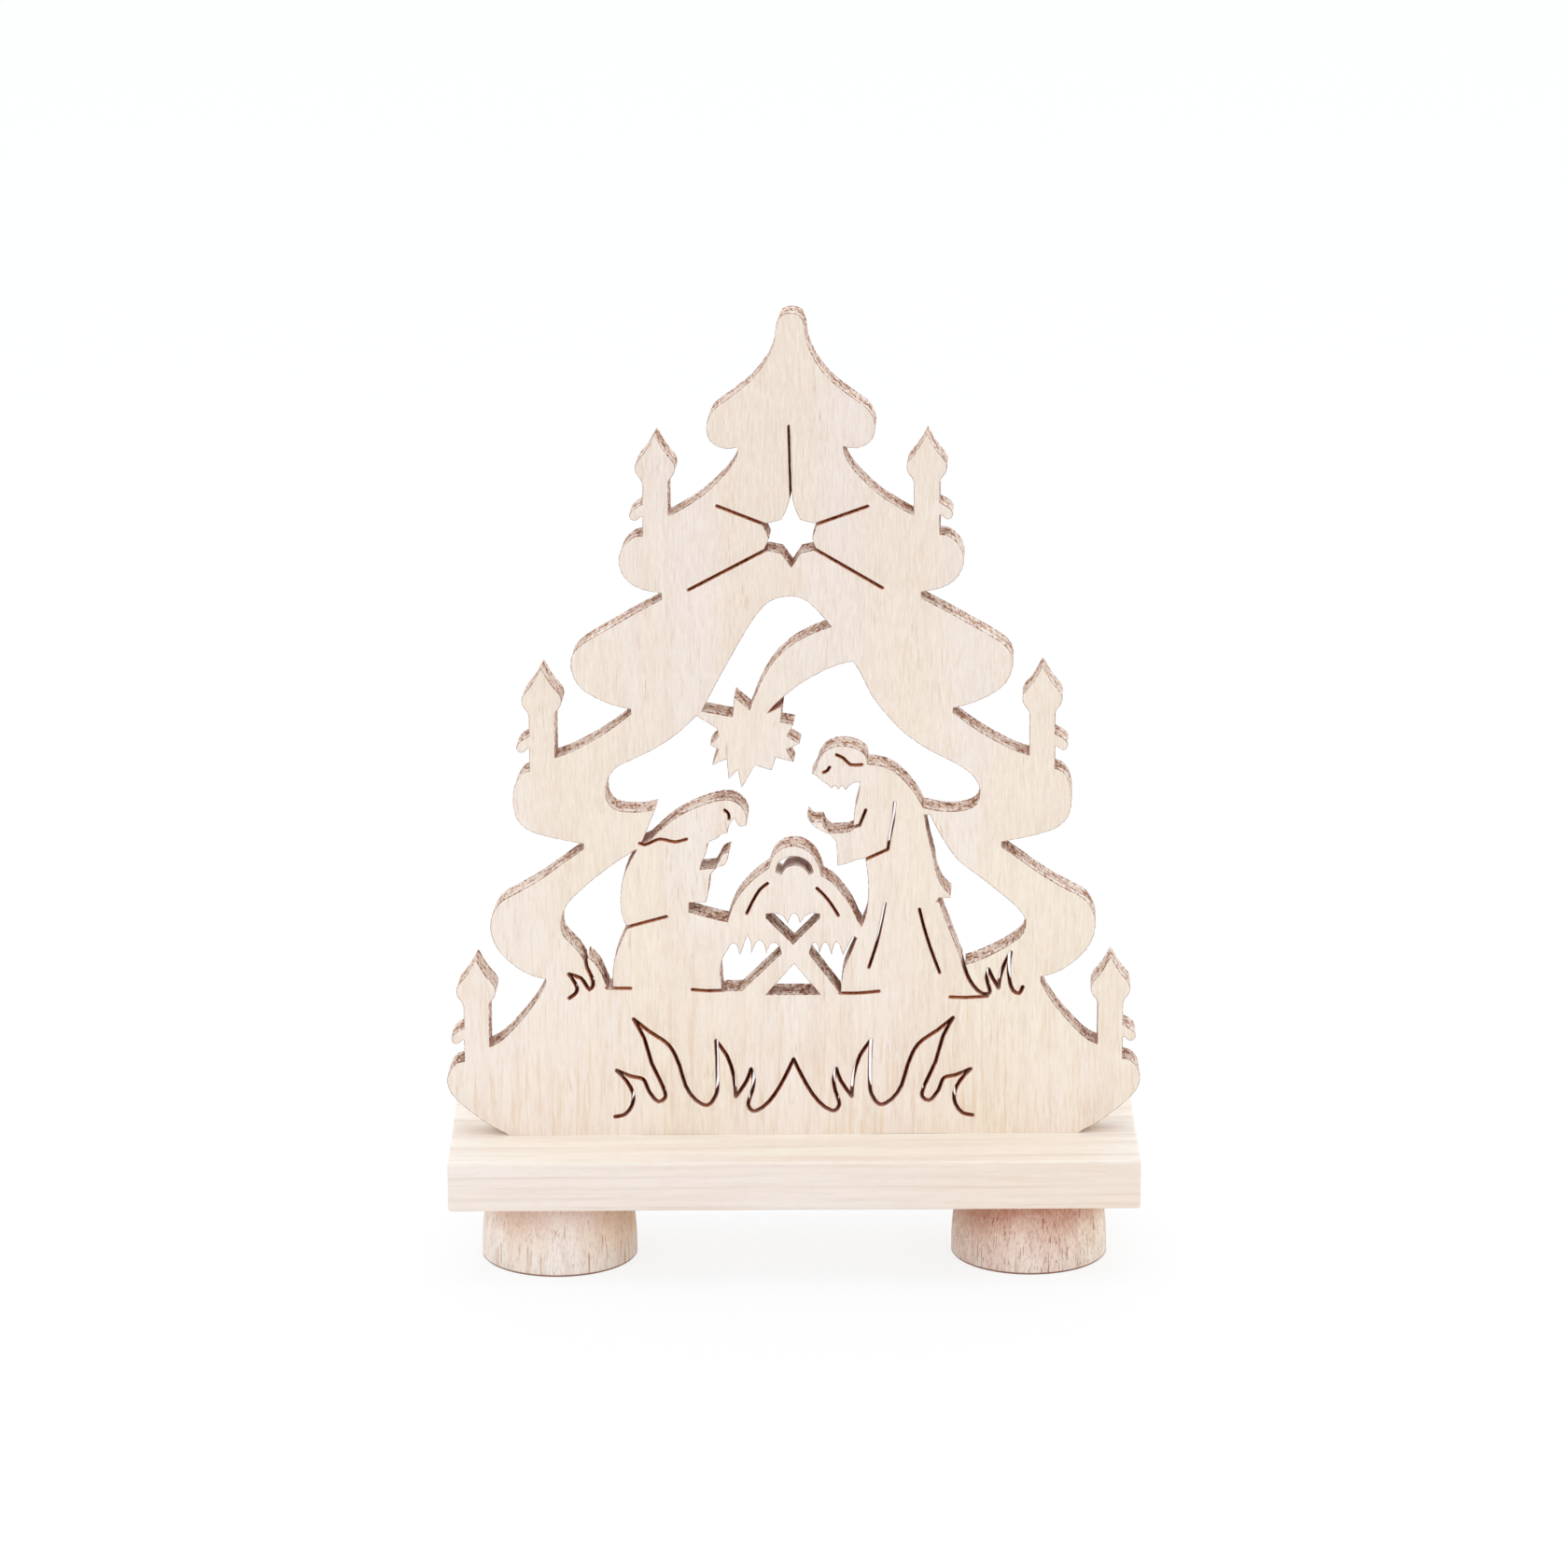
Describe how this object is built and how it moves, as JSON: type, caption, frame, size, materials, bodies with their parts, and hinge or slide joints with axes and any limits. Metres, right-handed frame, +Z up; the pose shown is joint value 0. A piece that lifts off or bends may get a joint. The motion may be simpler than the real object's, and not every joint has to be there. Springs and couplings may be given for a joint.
{
  "type": "carved nativity tree",
  "caption": "Small free-standing tree cut from plywood, with candles on its boughs and a nativity scene cut through its middle, on a plank with turned feet.",
  "frame": {"origin": "on the table, under the middle of the plank", "axes": "+Z up, +X to the viewer's right, the panel's carved front faces -Y"},
  "size_m": [0.0574, 0.0174, 0.0801],
  "materials": {
    "birch_plywood": "raw sanded veneer, burnt brown on the cut walls",
    "lime_plank": "raw sanded, fine grain along the plank",
    "turned_beech": "raw turned, short dark flecks along the grain",
    "beech_dowel": "raw"
  },
  "bodies": {
    "root": {"tree_panel": "birch_plywood", "base_plank": "lime_plank", "foot_left": "turned_beech", "foot_right": "turned_beech", "dowel_left": "beech_dowel", "dowel_right": "beech_dowel"}
  },
  "joints": []
}
